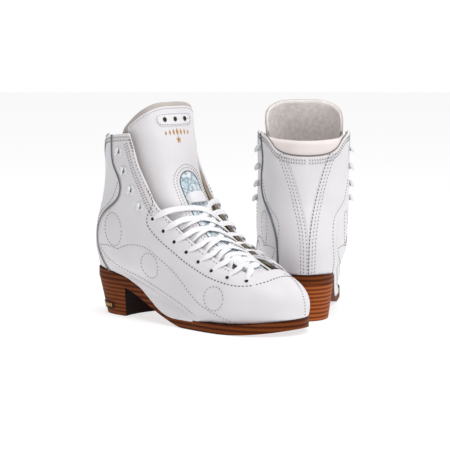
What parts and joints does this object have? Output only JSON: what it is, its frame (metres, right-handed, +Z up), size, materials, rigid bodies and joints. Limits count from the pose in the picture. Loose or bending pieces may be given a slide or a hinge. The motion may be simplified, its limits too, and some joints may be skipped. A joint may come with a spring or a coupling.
{
  "type": "pair of figure skate boots",
  "caption": "Pair of white leather lace-up figure-skate boots without blades, with padded tongues and stacked leather heels and soles.",
  "frame": {"origin": "centre of the pair's footprint on the floor", "axes": "+Z up; +Y away from the front of the pair, along the left boot from heel to toe; +X to the right; the right boot stands on the -X side with its toe turned towards +X and -Y"},
  "size_m": [0.2686, 0.3507, 0.219],
  "materials": {
    "sole_leather": "stacked, waxed",
    "cork": "granular",
    "steel": "plain",
    "insole_board": "fibre board",
    "footbed_suede": "suede",
    "brass": "polished rim",
    "white_leather": "smooth",
    "piping": "satin",
    "stiffener": "fibre",
    "foam": "open foam",
    "lining": "smooth",
    "collar_leather": "soft",
    "tongue_suede": "brushed",
    "hook_enamel": "gloss",
    "lace": "woven"
  },
  "bodies": {
    "right_boot": {"right_ankle_padding": "foam", "right_back_insert": "white_leather", "right_collar_liner": "collar_leather", "right_cork_filler": "cork", "right_footbed": "footbed_suede", "right_heel_counter": "stiffener", "right_heel_lifts": "sole_leather", "right_heel_nails": "steel", "right_heel_plate": "brass", "right_heel_top_piece": "sole_leather", "right_hooks": "hook_enamel", "right_insole_board": "insole_board", "right_lace": "lace", "right_lace_loop": "white_leather", "right_lateral_back_panel": "white_leather", "right_lateral_foxing": "white_leather", "right_lateral_quarter": "white_leather", "right_lining": "lining", "right_medial_back_panel": "white_leather", "right_medial_foxing": "white_leather", "right_medial_quarter": "white_leather", "right_midsole": "sole_leather", "right_outsole": "sole_leather", "right_piping": "piping", "right_shank": "steel", "right_toe_puff": "stiffener", "right_tongue_face_lower": "white_leather", "right_tongue_padding_lower": "tongue_suede"},
    "right_tongue_top": {"right_tongue_face_upper": "white_leather", "right_tongue_padding_upper": "tongue_suede"},
    "left_boot": {"left_ankle_padding": "foam", "left_back_insert": "white_leather", "left_collar_liner": "collar_leather", "left_cork_filler": "cork", "left_footbed": "footbed_suede", "left_heel_counter": "stiffener", "left_heel_lifts": "sole_leather", "left_heel_nails": "steel", "left_heel_plate": "brass", "left_heel_top_piece": "sole_leather", "left_hooks": "hook_enamel", "left_insole_board": "insole_board", "left_lace": "lace", "left_lace_loop": "white_leather", "left_lateral_back_panel": "white_leather", "left_lateral_foxing": "white_leather", "left_lateral_quarter": "white_leather", "left_lining": "lining", "left_medial_back_panel": "white_leather", "left_medial_foxing": "white_leather", "left_medial_quarter": "white_leather", "left_midsole": "sole_leather", "left_outsole": "sole_leather", "left_piping": "piping", "left_shank": "steel", "left_toe_puff": "stiffener", "left_tongue_face_lower": "white_leather", "left_tongue_padding_lower": "tongue_suede"},
    "left_tongue_top": {"left_tongue_face_upper": "white_leather", "left_tongue_padding_upper": "tongue_suede"}
  },
  "joints": [
    {"name": "left_boot_lift", "type": "slide", "parent": "right_boot", "child": "left_boot", "axis": [0, 0, 1], "range_m": [0, 0.25]},
    {"name": "right_tongue_flex", "type": "hinge", "parent": "right_boot", "child": "right_tongue_top", "pos_m": [-0.02739, -0.07516, 0.128], "axis": [0.6547, 0.7559, 0], "range_deg": [0, 45]},
    {"name": "left_tongue_flex", "type": "hinge", "parent": "left_boot", "child": "left_tongue_top", "pos_m": [0.0813, 0.04069, 0.128], "axis": [-0.9999, -0.014, 0], "range_deg": [0, 45]}
  ]
}
